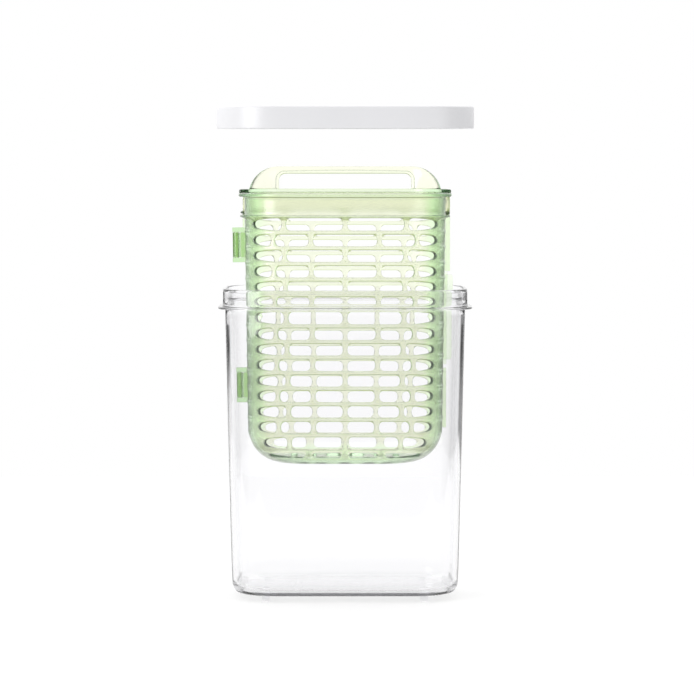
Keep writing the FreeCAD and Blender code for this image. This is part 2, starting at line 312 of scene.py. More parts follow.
def moulding(name, sections):
    """Closed moulding from (plan outline, z) sections; the first and last are filled across."""
    sheets = Sheets()
    loops = [outline_points(size, z) for size, z in sections]
    sheets.rows(loops, closed=True)
    fill_outline(sheets, loops[0])
    fill_outline(sheets, loops[-1])
    return finished_mesh(name, sheets.points, sheets.faces)


def rounded_edge(size, z, radius, up):
    """Sections a quarter turn round an outline's bottom edge (up is 1) or top edge (up is -1)."""
    sections = []
    for step in range(ROUND_STEPS + 1):
        angle = math.pi / 2 * step / ROUND_STEPS
        rise = radius * (1 - math.cos(angle))
        reach = radius * (math.sin(angle) - 1)
        sections.append((grown(size, reach), z + up * rise))
    return sections


def make_tub():
    """Clear tub: floor, tapered wall, outside flange and neck in one closed skin."""
    wall_top = grown(FLANGE, -FLANGE_IN)
    wall_bottom = grown(wall_top, -TUB_TAPER)
    neck = grown(FLANGE, -NECK_IN)
    edge = 0.3
    flange_top_z = FLANGE_Z + FLANGE_THICKNESS
    sections = rounded_edge(wall_bottom, TUB_BOTTOM_Z, TUB_BOTTOM_ROUND, 1)
    for share in WALL_SHARES:
        z = lerp(TUB_BOTTOM_Z + TUB_BOTTOM_ROUND, FLANGE_Z, share)
        sections.append((grown(wall_bottom, TUB_TAPER * share), z))
    sections += [
        (wall_top, FLANGE_Z - 2 * edge),
        (wall_top, FLANGE_Z - edge / 2),
        (grown(wall_top, edge), FLANGE_Z),
        (grown(FLANGE, -edge), FLANGE_Z),
        (FLANGE, FLANGE_Z + edge),
        (FLANGE, flange_top_z - edge),
        (grown(FLANGE, -edge), flange_top_z),
        (grown(neck, edge), flange_top_z),
        (neck, flange_top_z + edge),
        (neck, NECK_TOP_Z - 2 * edge),
        (grown(neck, -edge / 2), NECK_TOP_Z - edge / 2),
        (grown(neck, -2 * edge), NECK_TOP_Z),
        (grown(neck, 2 * edge - NECK_WALL), NECK_TOP_Z),
        (grown(neck, edge / 2 - NECK_WALL), NECK_TOP_Z - edge / 2),
        (grown(neck, -NECK_WALL), NECK_TOP_Z - 2 * edge),
        (grown(neck, -NECK_WALL), FLANGE_Z + 2 * edge),
        (grown(wall_top, edge - TUB_WALL), FLANGE_Z),
        (grown(wall_top, -TUB_WALL), FLANGE_Z - 3 * edge),
    ]
    inner_round = TUB_BOTTOM_ROUND - TUB_WALL / 2
    floor_z = TUB_BOTTOM_Z + TUB_FLOOR
    for share in reversed(WALL_SHARES):
        z = lerp(floor_z + inner_round, FLANGE_Z, share)
        sections.append((grown(wall_bottom, TUB_TAPER * share - TUB_WALL), z))
    sections += reversed(rounded_edge(grown(wall_bottom, -TUB_WALL), floor_z, inner_round, 1))
    for share in BASE_SHARES:
        sections.insert(0, (tuple(value * share for value in sections[0][0]), TUB_BOTTOM_Z))
        sections.append((tuple(value * share for value in sections[-1][0]), floor_z))
    return moulding("tub", sections)


def make_lid():
    """White cap: crisp skirt, softly rounded top edge and a recess underneath."""
    edge = 0.25
    round_radius = 1.0
    recess_z = LID_TOP_Z - LID_THICKNESS
    inner = grown(LID, -LID_SKIRT)
    sections = [
        (grown(LID, -round_radius * 4), LID_TOP_Z),
        (grown(LID, -round_radius * 1.6), LID_TOP_Z),
    ]
    sections += rounded_edge(LID, LID_TOP_Z, round_radius, -1)
    sections += [
        (LID, LID_BOTTOM_Z + 2 * edge),
        (grown(LID, -edge / 3), LID_BOTTOM_Z + edge / 3),
        (grown(LID, -edge), LID_BOTTOM_Z),
        (grown(inner, edge), LID_BOTTOM_Z),
        (grown(inner, edge / 3), LID_BOTTOM_Z + edge / 3),
        (inner, LID_BOTTOM_Z + 2 * edge),
        (inner, recess_z - 4 * edge),
        (grown(inner, -edge), recess_z - edge),
        (grown(inner, -4 * edge), recess_z),
        (grown(inner, -16 * edge), recess_z),
    ]
    return moulding("lid", sections)


# ---------------------------------------------------------------------------------------------
# Basket halves
# ---------------------------------------------------------------------------------------------

def drop_in(radius, z):
    """How far a bottom edge of this radius has drawn the wall in at a height."""
    below = clamp(BASKET_BOTTOM_Z + radius - z, radius)
    return radius - math.sqrt(radius ** 2 - below ** 2)


def tilt(radius, z):
    """Angle that the wall has turned under at a height."""
    return math.asin(clamp((BASKET_BOTTOM_Z + radius - z) / radius))


def section(z):
    """Basket's plan outline at a height."""
    widening = BASKET_TAPER * (z - BASKET_BOTTOM_Z) / (BASKET_TOP_Z - BASKET_BOTTOM_Z)
    half_x, half_y, radius = grown(BASKET_BOTTOM, widening)
    under = drop_in(FRONT_ROUND, z)
    return half_x - drop_in(SIDE_ROUND, z), half_y - under, radius - CORNER_TIGHTENING * under


class Half:
    """Half of the basket, built facing the front and turned for its side: -1 is front, 1 rear."""

    def __init__(self, side, rim_top_z, first_slat_z):
        self.side = side
        self.rim_top_z = rim_top_z
        self.band_z = rim_top_z - BAND_HEIGHT
        self.first_slat_z = first_slat_z
        self.sheets = Sheets()
        self.corner_column = len(COLUMNS) - 1 + END_COLUMNS

    # Columns, counted from the middle; a negative column is its mirror image

    def closeness(self, z):
        """Scale of the ribs' distances from the middle: they come together downwards."""
        lowered = (self.first_slat_z - z) / (SLAT_COUNT * SLAT_PITCH)
        return 1 - RIB_CONVERGENCE * clamp(lowered)

    def end_x(self, z):
        """Distance from the middle where the lattice's cells meet the post."""
        return section(z)[0] - POST_WIDTH + LATTICE_OVERLAP

    def column_x(self, column, z):
        """Distance from the middle of one of the lattice's columns."""
        held_z = max(z, LOWEST_WINDOW_Z)
        shrink = self.end_x(z) / self.end_x(held_z)
        index = abs(column)
        last = len(COLUMNS) - 1
        if index <= last:
            x = COLUMNS[index] * self.closeness(held_z)
        else:
            start = COLUMNS[last] * self.closeness(held_z)
            x = lerp(start, self.end_x(held_z), (index - last) / END_COLUMNS)
        return math.copysign(x * shrink, column)

    def along_wall(self, x, z, reach):
        """Point at a distance from the middle, out from the wall's outer face by reach."""
        half_x, half_y, radius = section(z)
        angle = math.asin(clamp((abs(x) - (half_x - radius)) / radius))
        y = -(half_y - radius) - radius * math.cos(angle)
        return self.offset(x, y, z, math.copysign(angle, x), reach)

    def offset(self, x, y, z, angle, reach):
        """Move a wall point along its normal; angle is 0 at the front and a quarter turn at a side."""
        side_share = math.sin(angle) ** 2
        if 0 < reach <= BEAD_REACH:
            reach *= bead_share(z, side_share)
        under = lerp(tilt(FRONT_ROUND, z), tilt(SIDE_ROUND, z), side_share)
        flat = math.cos(under) * reach
        return (
            x + math.sin(angle) * flat,
            y - math.cos(angle) * flat,
            z - math.sin(under) * reach,
        )

    def wall_point(self, column, z, reach):
        """Point of the wall's mesh grid; past the lattice's end the columns follow the post."""
        index = abs(column) - self.corner_column
        if index <= 0:
            return self.along_wall(self.column_x(column, z), z, reach)
        half_x, half_y, radius = section(z)
        flat_x = half_x - radius
        flat_y = half_y - radius
        sign = math.copysign(1, column)
        start = math.asin(min(1.0, (self.end_x(z) - flat_x) / radius))
        if index <= len(POST_CORNER_STEPS):
            angle = lerp(start, math.pi / 2, POST_CORNER_STEPS[index - 1])
            x = sign * (flat_x + radius * math.sin(angle))
            y = -flat_y - radius * math.cos(angle)
            return self.offset(x, y, z, sign * angle, reach)
        share = POST_SIDE_STEPS[index - len(POST_CORNER_STEPS) - 1]
        y = lerp(-flat_y, -HALF_GAP, share)
        return self.offset(sign * half_x, y, z, sign * math.pi / 2, reach)

    def last_column(self):
        return self.corner_column + len(POST_CORNER_STEPS) + len(POST_SIDE_STEPS)

    # Rows of windows

    def lattice_rows(self):
        """Every row of windows from the band down, each between the middles of two slats."""
        tops = [self.first_slat_z - index * SLAT_PITCH for index in range(SLAT_COUNT)]
        lip = (LOWER_LIP[0], LOWER_LIP[1] / 2 - 0.15, LOWER_LIP[1] / 2 + 0.05)
        slat = (BEAD_REACH, SLAT_HEIGHT / 2 - 0.3, SLAT_HEIGHT / 2)
        plain = (0.0, 0.3, 0.6)
        rows = []
        for row in range(SLAT_COUNT + 1):
            lowest = row == SLAT_COUNT
            ribs = THREE_RIBS if row % 2 == 0 else FOUR_RIBS
            post = POST_WIDTH if lowest else POST_WIDTH + POST_WIDENING * row / SLAT_COUNT
            high = self.band_z + LOWER_LIP[1] / 2 if row == 0 else tops[row - 1] - SLAT_HEIGHT / 2
            low = UNDERSIDE_Z if lowest else tops[row] - SLAT_HEIGHT / 2
            window_high = self.band_z if row == 0 else tops[row - 1] - SLAT_HEIGHT
            window_low = LOWEST_WINDOW_Z if lowest else tops[row]
            levels = row_levels(low, high, plain if lowest else slat, slat if row else lip)
            waist = LOWEST_RIB_WAIST if lowest else RIB_WAIST
            rows.append((levels, LOWEST_RIBS if lowest else ribs, waist, post, (window_low, window_high)))
        return rows

    def holed_cell(self, columns, levels, hole):
        """Wall between two columns and the row's first and last levels, with one window through it."""
        first, last = columns
        across = last - first
        up = len(levels) - 1
        boundary = [(column, 0) for column in range(first, last)]
        boundary += [(last, level) for level in range(up)]
        boundary += [(column, up) for column in range(last, first, -1)]
        boundary += [(first, level) for level in range(up, 0, -1)]
        outside = [self.wall_point(column, *levels[level]) for column, level in boundary]
        inside = [self.wall_point(column, levels[level][0], -BASKET_WALL) for column, level in boundary]
        outer_end = (last == self.corner_column) - (first == -self.corner_column)
        wide = tapered(hole_loop(hole, EDGE_ROUND, across, up), hole, outer_end)
        narrow = tapered(hole_loop(hole, 0.0, across, up), hole, outer_end)
        face = [self.along_wall(x, z, bead_reach(z, levels)) for x, z in wide]
        near = [self.along_wall(x, z, bead_reach(z, levels) - EDGE_ROUND) for x, z in narrow]
        far = [self.along_wall(x, z, EDGE_ROUND - BASKET_WALL) for x, z in narrow]
        back = [self.along_wall(x, z, -BASKET_WALL) for x, z in wide]
        self.sheets.rows([outside, face, near, far, back, inside], closed=True)

    def skin(self, columns, levels):
        """Outer face at the levels' reaches, and the inner face, over a run of columns."""
        outer = [[self.wall_point(column, *level) for column in columns] for level in levels]
        inner = [[self.wall_point(column, z, -BASKET_WALL) for column in columns] for z, _ in levels]
        self.sheets.rows(outer)
        self.sheets.rows(inner)

    def parting_edge(self, levels):
        """Narrow faces of the wall along the parting plane, left and right."""
        for column in (-self.last_column(), self.last_column()):
            rows = []
            for share in EDGE_SHARES:
                through = [(z, lerp(reach, -BASKET_WALL, share)) for z, reach in levels]
                rows.append([self.wall_point(column, *level) for level in through])
            self.sheets.rows(rows)

    def build_lattice(self):
        """All rows of windows, with the plain posts beside them."""
        last = self.last_column()
        for levels, ribs, waist, post, window_z in self.lattice_rows():
            closeness = self.closeness(levels[0][0])
            stops = [-self.corner_column]
            stops += [int(math.copysign(COLUMNS.index(abs(rib)), rib)) for rib in ribs]
            stops.append(self.corner_column)
            window_end = section(window_z[0])[0] - post
            lefts = [-window_end] + [rib * closeness + waist / 2 for rib in ribs]
            rights = [rib * closeness - waist / 2 for rib in ribs] + [window_end]
            for columns, x_span in zip(zip(stops, stops[1:]), zip(lefts, rights)):
                self.holed_cell(columns, levels, (x_span, window_z))
            self.skin(range(self.corner_column, last + 1), levels)
            self.skin(range(-last, 1 - self.corner_column), levels)
            self.parting_edge(levels)

    def build_band(self):
        """Band above the lattice, with its lower and upper lips and rounded top."""
        bottom = self.band_z
        top = self.rim_top_z
        lower_top = bottom + LOWER_LIP[1]
        upper_bottom = top - UPPER_LIP[1]
        levels = [
            (bottom + LOWER_LIP[1] / 2, LOWER_LIP[0]),
            (lower_top - 0.2, LOWER_LIP[0]),
            (lower_top, LOWER_LIP[0] - 0.3),
            (lower_top + 0.05, 0.3),
            (lower_top + 0.4, 0.0),
            (lerp(lower_top, upper_bottom, 0.3), 0.0),
            (lerp(lower_top, upper_bottom, 0.7), 0.0),
            (upper_bottom - 0.4, 0.0),
            (upper_bottom - 0.05, 0.3),
            (upper_bottom, UPPER_LIP[0] - 0.3),
            (upper_bottom + 0.25, UPPER_LIP[0]),
            (top - 0.4, UPPER_LIP[0]),
            (top, UPPER_LIP[0] - 0.4),
        ]
        last = self.last_column()
        columns = range(-last, last + 1)
        self.skin(columns, levels)
        self.parting_edge(levels)
        rim_levels = [(top, lerp(UPPER_LIP[0] - 0.4, -BASKET_WALL, share)) for share in EDGE_SHARES]
        self.sheets.rows([[self.wall_point(column, *level) for column in columns] for level in rim_levels])
        web_y = (-PARTING_Y - WEB_THICKNESS, -PARTING_Y)
        for side, reach in WEB_REACH.items():
            wall_x = section(top)[0]
            x_span = sorted((side * wall_x, side * (wall_x + reach)))
            self.sheets.plate(x_span, web_y, (lower_top, upper_bottom))

    def build_underside(self):
        """Wall turning under, and the slotted floor."""
        last = self.last_column()
        levels = [(lerp(BASKET_BOTTOM_Z, UNDERSIDE_Z, share ** 2), 0.0) for share in UNDER_STEPS]
        self.skin(range(-last, last + 1), levels)
        self.parting_edge(levels)
        self.build_floor()

    def build_floor(self):
        """Floor grid inside the lowest loop of the wall, with slots between bars."""
        corner = self.corner_column
        last = self.last_column()
        z = BASKET_BOTTOM_Z

        def foot(column):
            return self.wall_point(column, z, 0.0)

        front = [foot(column) for column in range(-corner, corner + 1)]
        left = [foot(-column) for column in range(last, corner - 1, -1)]
        right = [foot(column) for column in range(last, corner - 1, -1)]
        widening = right[0][0] / front[-1][0]
        back = [(point[0] * widening, -HALF_GAP, z) for point in front]
        grid = patch(back, front, left, right)
        stops = (*FLOOR_SLOT_COLUMNS, corner)
        slots = []
        for low, high in zip(stops, stops[1:]):
            slots.append((corner + low, corner + high))
            slots.append((corner - high, corner - low))
        first_row, last_row = FLOOR_SLOT_ROWS
        for row in range(len(grid) - 1):
            for column in range(len(front) - 1):
                in_slot = first_row <= row < last_row
                if in_slot and any(low <= column < high for low, high in slots):
                    continue
                near = [grid[row][column], grid[row][column + 1]]
                far = [grid[row + 1][column], grid[row + 1][column + 1]]
                self.double_floor(near, far)
        for low, high in slots:
            self.floor_slot(grid, (low, high), (first_row, last_row))
        self.sheets.rows([[(x, y, z + BASKET_WALL * share) for x, y, z in back] for share in EDGE_SHARES])

    @staticmethod
    def lift(point):
        """Point of the floor's upper face over a point of its lower one."""
        return point[0], point[1], point[2] + BASKET_WALL

    def double_floor(self, near, far):
        """Solid stretch of the floor: its lower and upper faces."""
        self.sheets.strip(near, far)
        self.sheets.strip([self.lift(point) for point in near], [self.lift(point) for point in far])

    def floor_slot(self, grid, columns, rows):
        """One rounded slot through the floor, inside a block of the floor's grid."""
        low, high = columns
        top, bottom = rows
        boundary = [grid[top][column] for column in range(low, high)]
        boundary += [grid[row][high] for row in range(top, bottom)]
        boundary += [grid[bottom][column] for column in range(high, low, -1)]
        boundary += [grid[row][low] for row in range(bottom, top, -1)]
        x_span = (max(grid[top][low][0], grid[bottom][low][0]) + FLOOR_BAR_WIDTH / 2,
                  min(grid[top][high][0], grid[bottom][high][0]) - FLOOR_BAR_WIDTH / 2)
        y_span = (grid[top][low][1] - FLOOR_SLOT_INSET, grid[bottom][high][1] + FLOOR_SLOT_INSET)
        loops = [boundary]
        z = BASKET_BOTTOM_Z
        for growth, rise in ((EDGE_ROUND, 0.0), (0.0, EDGE_ROUND),
                             (0.0, BASKET_WALL - EDGE_ROUND), (EDGE_ROUND, BASKET_WALL)):
            loop = hole_loop((x_span, y_span), growth, high - low, bottom - top)
            loops.append([(x, y, z + rise) for x, y in loop])
        loops.append([self.lift(point) for point in boundary])
        self.sheets.rows(loops, closed=True)

    def build(self, name):
        self.build_band()
        self.build_lattice()
        self.build_underside()
        points = [(x, y * -self.side, z) for x, y, z in self.sheets.points]
        return finished_mesh(name, points, self.sheets.faces)


def bead_share(z, side_share):
    """How much of a slat's bead stands out: less at the sides, and nothing near the bottom."""
    low, high = BEAD_FADE_Z
    height_share = clamp((z - low) / (high - low))
    return height_share * lerp(1.0, SIDE_BEAD_SHARE, side_share)


def row_levels(low, high, low_edge, high_edge):
    """(z, reach) levels up one row; an edge is its bead's (reach, end of bead, start of plain wall)."""
    start = low + low_edge[2]
    end = high - high_edge[2]
    levels = [(low, low_edge[0]), (low + low_edge[1], low_edge[0])]
    levels += [(lerp(start, end, share), 0.0) for share in (0.0, 0.33, 0.67, 1.0)]
    return levels + [(high - high_edge[1], high_edge[0]), (high, high_edge[0])]


def bead_reach(z, levels):
    """Reach of the outer face at a height within a row."""
    for (low, low_reach), (high, high_reach) in zip(levels, levels[1:]):
        if z <= high:
            return lerp(low_reach, high_reach, max(0.0, (z - low) / (high - low)))
    return levels[-1][1]


def hole_loop(hole, growth, across, up):
    """Window with bulging ends, as a loop that matches a boundary of `across` by `up` steps."""
    (left, right), (low, high) = hole
    flip = 1 if high >= low else -1
    height = abs(high - low)
    bulge = min(WINDOW_BULGE, 0.2 * height)
    left += bulge - growth
    right += growth - bulge
    low -= growth * flip
    high += growth * flip
    radius = min(WINDOW_ROUND + growth, height * 0.4, (right - left) * 0.4)
    corner_steps = 2

    def corner(end_sign, level_sign, turn):
        """Corner arc: turn 0 is its middle, 1 its end on the level side, -1 on the upright one."""
        centre_x = right - radius if end_sign > 0 else left + radius
        centre_z = high - radius * flip if level_sign > 0 else low + radius * flip
        angle = math.pi / 4 * (1 + turn)
        x = centre_x + end_sign * radius * math.cos(angle)
        z = centre_z + level_sign * flip * radius * math.sin(angle)
        return x, z

    def side(start, end, steps, turn):
        """Points from one corner's middle to just before the next one's."""
        turns = [turn * step / corner_steps for step in range(corner_steps + 1)]
        first = [corner(*start, share) for share in turns]
        last = [corner(*end, share) for share in reversed(turns)]
        between = steps - 2 * corner_steps
        if between <= 0:
            return (first[:-1] + last)[:steps]
        for step in range(1, between):
            share = step / between
            first.append(tuple(lerp(a, b, share) for a, b in zip(first[corner_steps], last[0])))
        return (first + last)[:steps]

    loop = side((-1, -1), (1, -1), across, 1)
    loop += side((1, -1), (1, 1), up, -1)
    loop += side((1, 1), (-1, 1), across, 1)
    loop += side((-1, 1), (-1, -1), up, -1)
    middle_x = (left + right) / 2
    middle_z = (low + high) / 2
    bulged = []
    for x, z in loop:
        swell = bulge * (1 - ((z - middle_z) / (high - middle_z)) ** 2)
        bulged.append((x + math.copysign(swell, x - middle_x), z))
    return bulged


def tapered(loop, hole, outer_end):
    """Window that gets lower towards its outer end: -1 is the left end, 1 the right, 0 neither."""
    if not outer_end:
        return loop
    (left, right), (low, high) = hole
    middle_z = (low + high) / 2
    points = []
    for x, z in loop:
        along = (x - left) / (right - left)
        share = clamp(along if outer_end > 0 else 1 - along)
        points.append((x, lerp(z, middle_z, END_TAPER * share ** 2)))
    return points


# ---------------------------------------------------------------------------------------------
# Handle
# ---------------------------------------------------------------------------------------------

ARC_STEPS = 12
TOP_STEPS = 16
HANDLE_EDGE = 0.4
LIP_EDGE = 0.15


def top_edge(start_x, z):
    """Level points from just past start_x to the middle."""
    return [(lerp(start_x, 0.0, step / TOP_STEPS), z) for step in range(1, TOP_STEPS + 1)]


def handle_outline():
    """Right half of the arch's outer edge, from its foot to the middle of the top."""
    centre_z = HANDLE_TOP_Z - HANDLE_ROUND
    centre_x = HANDLE_HALF_WIDTH - math.sqrt(HANDLE_ROUND ** 2 - (BASKET_TOP_Z - centre_z) ** 2)
    start = math.atan2(BASKET_TOP_Z - centre_z, HANDLE_HALF_WIDTH - centre_x)
    points = []
    for step in range(ARC_STEPS + 1):
        angle = lerp(start, math.pi / 2, step / ARC_STEPS)
        points.append((centre_x + HANDLE_ROUND * math.cos(angle), centre_z + HANDLE_ROUND * math.sin(angle)))
    return points + top_edge(centre_x, HANDLE_TOP_Z)


def grip_outline():
    """Right half of the grip window's edge, matching handle_outline point for point."""
    straight = ARC_STEPS // 2
    centre_x = GRIP_HALF_WIDTH - GRIP_ROUND
    centre_z = GRIP_TOP_Z - GRIP_ROUND
    heights = [lerp(BASKET_TOP_Z, centre_z, step / straight) for step in range(straight)]
    points = [(GRIP_HALF_WIDTH, z) for z in heights]
    for step in range(ARC_STEPS - straight + 1):
        angle = math.pi / 2 * step / (ARC_STEPS - straight)
        points.append((centre_x + GRIP_ROUND * math.cos(angle), centre_z + GRIP_ROUND * math.sin(angle)))
    return points + top_edge(centre_x, GRIP_TOP_Z)


def rear_face_y(x):
    """Depth of the rear wall's outer face, above the rim, at a distance from the middle."""
    half_x, half_y, radius = section(BASKET_TOP_Z)
    beyond = clamp(abs(x) - (half_x - radius), radius)
    return half_y - radius + math.sqrt(radius ** 2 - beyond ** 2)


def make_handle():
    """Arch with rounded edges and a lip round its grip window."""
    lip = GRIP_LIP_REACH
    width = GRIP_LIP_WIDTH
    front = HANDLE_THICKNESS
    # The arch's section as (distance, depth): depths run forwards from its back face
    at_grip = [
        (width + LIP_EDGE, front), (width, front + LIP_EDGE),
        (width, front + lip - LIP_EDGE), (width - LIP_EDGE, front + lip),
        (HANDLE_EDGE, front + lip), (0.0, front + lip - HANDLE_EDGE),
        (0.0, HANDLE_EDGE - lip), (HANDLE_EDGE, -lip),
        (width - LIP_EDGE, -lip), (width, LIP_EDGE - lip),
        (width, -LIP_EDGE), (width + LIP_EDGE, 0.0),
    ]
    at_outer = [(-HANDLE_EDGE, 0.0), (0.0, HANDLE_EDGE), (0.0, front - HANDLE_EDGE), (-HANDLE_EDGE, front)]
    inner = grip_outline()
    outer = handle_outline()
    inner += [(-x, z) for x, z in inner[-2::-1]]
    outer += [(-x, z) for x, z in outer[-2::-1]]
    sheets = Sheets()
    rings = []
    for (inner_x, inner_z), (outer_x, outer_z) in zip(inner, outer):
        reach = math.hypot(outer_x - inner_x, outer_z - inner_z)
        ring = []
        shares = [(distance / reach, depth) for distance, depth in at_grip]
        shares += [(1 + distance / reach, depth) for distance, depth in at_outer]
        for share, depth in shares:
            x = lerp(inner_x, outer_x, share)
            ring.append((x, rear_face_y(x) - depth, lerp(inner_z, outer_z, share)))
        rings.append(ring)
    sheets.rows(rings, closed=True)
    for ring in (rings[0], rings[-1]):
        sheets.face(ring)
    return finished_mesh("handle", sheets.points, sheets.faces)


# ---------------------------------------------------------------------------------------------
# Camera
# ---------------------------------------------------------------------------------------------

CAMERA_PLACE = (0.001, -2.0, 0.242)
CAMERA_TARGET = (0.001, 0.0, 0.132)
LENS = 196.0
SENSOR_WIDTH = 36.0


def aim(thing, place, target):
    """Put a camera or light somewhere, looking at a target."""
    thing.location = place
    thing.rotation_euler = (Vector(target) - thing.location).to_track_quat("-Z", "Y").to_euler()
    bpy.context.collection.objects.link(thing)


camera_data = bpy.data.cameras.new("camera")
camera_data.lens = LENS
camera_data.sensor_width = SENSOR_WIDTH
camera = bpy.data.objects.new("camera", camera_data)
aim(camera, CAMERA_PLACE, CAMERA_TARGET)
bpy.context.scene.camera = camera


# ---------------------------------------------------------------------------------------------
# Materials
# ---------------------------------------------------------------------------------------------

# The green plastic's tints: on the handle, its own tint elsewhere, a painted shade where it is seen edge-on
# through a long run of plastic, on the flanges and latch, at the hinges, and painted shade on the slats'
# undersides
CREAM_TINT = (0.99, 0.965, 0.84)
BUTTER_TINT = (0.94, 0.925, 0.8)
# Painted shade: deeper green for plastic seen edge-on, where light runs a long way through it
EDGE_ON_SHADE_TINT = (0.88, 1.0, 0.76)
PALE_TINT = (0.95, 1.0, 0.87)
LEAF_TINT = (0.72, 0.84, 0.58)
# Painted shade on the downward faces of the slats and lips
UNDERSIDE_SHADE_TINT = (0.34, 0.4, 0.16)
GREEN_DEPTH_COLOR = (0.15, 0.9, 0.3)
CLEAR_TINT = (0.99, 0.99, 0.995)
CLEAR_DEPTH_COLOR = (0.3, 0.28, 0.36)
CLEAR_DENSITY = 16.0
WHITE_TINT = (0.85, 0.85, 0.87)

# Where these painted shades ease in, from none to full: places, and the height of the surface's normal
EDGE_ON_SHADE_X = (40.0, 49.0)
EDGE_ON_SHADE_Y = (4.0, 18.0)
LOW_EDGE_ON_SHADE_Z = (80.0, 74.0)
LOW_EDGE_ON_SHADE_Y = (22.0, 27.0)
SLAT_SHADE_Z = (78.0, 81.0)
SHADED_UNDERSIDE_NORMAL = (-0.25, -0.6)

# Where shelves have worn the edge of the tub's base
WORN_X = (52.0, 57.0)
WORN_Y = (31.0, 35.0)
WORN_Z = (6.2, 4.2)
WORN_ROUGHNESS = 0.8

# Middle stretch of a noise texture's values
NOISE_SPAN = (0.35, 0.65)


def metres(span):
    return tuple(value * MM for value in span)


class NodeTree:
    """Node tree of a material or the world, with helpers that add nodes and return outputs."""

    def __init__(self, owner):
        owner.use_nodes = True
        self.nodes = owner.node_tree.nodes
        self.links = owner.node_tree.links

    def add(self, kind, values, source=None):
        """Node with some inputs set, and its first one linked to a source."""
        node = self.nodes.new(kind)
        for name, value in values.items():
            node.inputs[name].default_value = value
        if source:
            self.links.new(source, node.inputs[0])
        return node

    def coordinates(self, name):
        """The x, y and z outputs of one kind of texture coordinate."""
        source = self.add("ShaderNodeTexCoord", {}).outputs[name]
        return self.add("ShaderNodeSeparateXYZ", {}, source).outputs

    def math(self, operation, first, second=None):
        """Output of a math node; the second term is an output, a number or nothing."""
        node = self.add("ShaderNodeMath", {}, first)
        node.operation = operation
        if isinstance(second, float):
            node.inputs[1].default_value = second
        elif second:
            self.links.new(second, node.inputs[1])
        return node.outputs[0]

    def ranged(self, source, span, values):
        """Map range node that takes a source from one end of a span to the other."""
        (low, low_value), (high, high_value) = sorted(zip(span, values))
        limits = {"From Min": low, "From Max": high, "To Min": low_value, "To Max": high_value}
        return self.add("ShaderNodeMapRange", limits, source)

    def eased(self, source, span, values=(0.0, 1.0)):
        """Smooth step between two values over a span."""
        step = self.ranged(source, span, values)
        step.interpolation_type = "SMOOTHSTEP"
        return step.outputs["Result"]

    def eased_size(self, source, span):
        """Smooth step over a span of a coordinate's size, whichever its sign."""
        return self.eased(self.math("ABSOLUTE", source), metres(span))

    def drift(self, scale, values):
        """Value that drifts over the surface, as a moulding's gloss does."""
        place = self.add("ShaderNodeTexCoord", {}).outputs["Object"]
        noise = self.add("ShaderNodeTexNoise", {"Scale": scale}, place)
        return self.ranged(noise.outputs["Fac"], NOISE_SPAN, values).outputs["Result"]

    def mixed(self, factor, first, second):
        """Colour between two others; the first may be an output."""
        mix = self.nodes.new("ShaderNodeMix")
        mix.data_type = "RGBA"
        mix.inputs["B"].default_value = (*second, 1.0)
        if isinstance(first, tuple):
            mix.inputs["A"].default_value = (*first, 1.0)
        else:
            self.links.new(first, mix.inputs["A"])
        self.links.new(factor, mix.inputs["Factor"])
        return mix.outputs["Result"]

    def absorb(self, color, density):
        """Give the material a colour that deepens with the plastic's thickness."""
        absorption = self.add("ShaderNodeVolumeAbsorption", {"Color": (*color, 1.0), "Density": density})
        self.links.new(absorption.outputs["Volume"], self.nodes["Material Output"].inputs["Volume"])


def new_material(name, values):
    """Material, its tree and its Principled shader with some inputs set."""
    material = bpy.data.materials.new(name)
    tree = NodeTree(material)
    shader = tree.nodes["Principled BSDF"]
    for socket, value in values.items():
        shader.inputs[socket].default_value = value
    return material, tree, shader


def clear_plastic():
    """Water-clear styrene with a faint grey cast in its edges, worn round its base."""
    looks = {"Base Color": (*CLEAR_TINT, 1.0), "Transmission Weight": 1.0, "IOR": 1.5}
    material, tree, shader = new_material("clear_plastic", looks)
    x, y, z = tree.coordinates("Object")
    outer = tree.math("MAXIMUM", tree.eased_size(x, WORN_X), tree.eased_size(y, WORN_Y))
    worn = tree.math("MULTIPLY", tree.eased(z, metres(WORN_Z)), outer)
    worn = tree.math("MULTIPLY", worn, WORN_ROUGHNESS)
    roughness = tree.math("MAXIMUM", tree.drift(30.0, (0.01, 0.03)), worn)
    tree.links.new(roughness, shader.inputs["Roughness"])
    tree.absorb(CLEAR_DEPTH_COLOR, CLEAR_DENSITY)
    return material


def green_plastic(name, plain_tint, edge_on_shade_tint, density):
    """Translucent green plastic with painted shade: deeper in the corners and along the bottom, where it is
    seen edge-on, and darker on the slats' undersides.
    """
    material, tree, shader = new_material(name, {"Transmission Weight": 1.0, "IOR": 1.46})
    x, y, z = tree.coordinates("Object")
    # Painted shade: deeper green in the corners and along the bottom, where the walls are seen edge-on
    corner = tree.math("MULTIPLY", tree.eased_size(x, EDGE_ON_SHADE_X), tree.eased_size(y, EDGE_ON_SHADE_Y))
    bottom = tree.math("MULTIPLY", tree.eased(z, metres(LOW_EDGE_ON_SHADE_Z)), tree.eased_size(y, LOW_EDGE_ON_SHADE_Y))
    edge_on_shade = tree.math("MAXIMUM", corner, bottom)
    # Painted shade: downward-facing surfaces above the bottom take the dark olive tint
    normal_z = tree.coordinates("Normal")["Z"]
    under = tree.math("MULTIPLY", tree.eased(normal_z, SHADED_UNDERSIDE_NORMAL), tree.eased(z, metres(SLAT_SHADE_Z)))
    tint = tree.mixed(under, tree.mixed(edge_on_shade, plain_tint, edge_on_shade_tint), UNDERSIDE_SHADE_TINT)
    tree.links.new(tint, shader.inputs["Base Color"])
    tree.links.new(tree.drift(25.0, (0.17, 0.25)), shader.inputs["Roughness"])
    tree.absorb(GREEN_DEPTH_COLOR, density)
    return material


